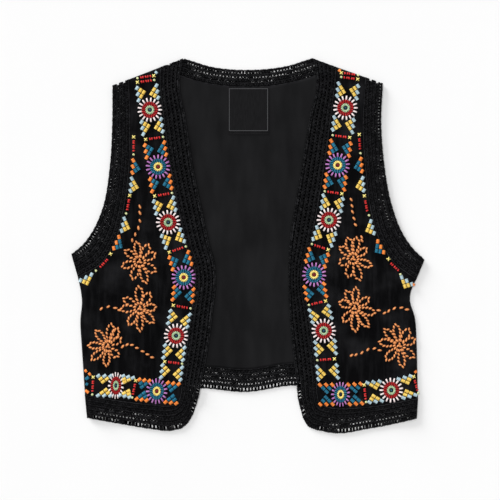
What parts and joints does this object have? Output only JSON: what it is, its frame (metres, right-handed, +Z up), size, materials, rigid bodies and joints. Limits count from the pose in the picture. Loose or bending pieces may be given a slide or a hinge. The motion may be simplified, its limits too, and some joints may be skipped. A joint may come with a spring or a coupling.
{
  "type": "beaded vest",
  "caption": "Cropped open-front folk vest laid flat: velvet body, wide crochet borders, lining showing in the open front.",
  "frame": {"origin": "on the table surface, under the middle of the laid-out vest's outline", "axes": "+Z up off the table, +Y towards the neck, +X towards the wearer's left front"},
  "size_m": [0.4768, 0.5068, 0.0072],
  "materials": {
    "velvet": "black velvet pile, matte with a faint brushed nap",
    "crochet": "black cotton crochet, matte",
    "lining": "smooth charcoal lining, slight sheen",
    "label": "black woven ribbon with a thin grey frame line, bare",
    "thread_red": "red embroidery thread",
    "thread_yellow": "yellow embroidery thread",
    "thread_light_blue": "light blue embroidery thread",
    "thread_orange": "orange embroidery thread",
    "thread_teal": "teal embroidery thread",
    "thread_violet": "violet embroidery thread",
    "thread_white": "off-white embroidery thread",
    "thread_green": "pale green embroidery thread",
    "bead_stitch_copper": "copper orange bead-like stitches, slight gloss"
  },
  "bodies": {
    "root": {"back_panel": "velvet", "back_lining": "lining", "neck_label": "label", "neck_border": "crochet", "back_hem_border": "crochet", "armhole_back_right": "crochet", "armhole_back_left": "crochet", "armhole_front_right": "crochet", "armhole_front_left": "crochet", "front_border_right": "crochet", "front_border_left": "crochet", "front_panel_right": "velvet", "front_panel_left": "velvet"}
  },
  "joints": []
}
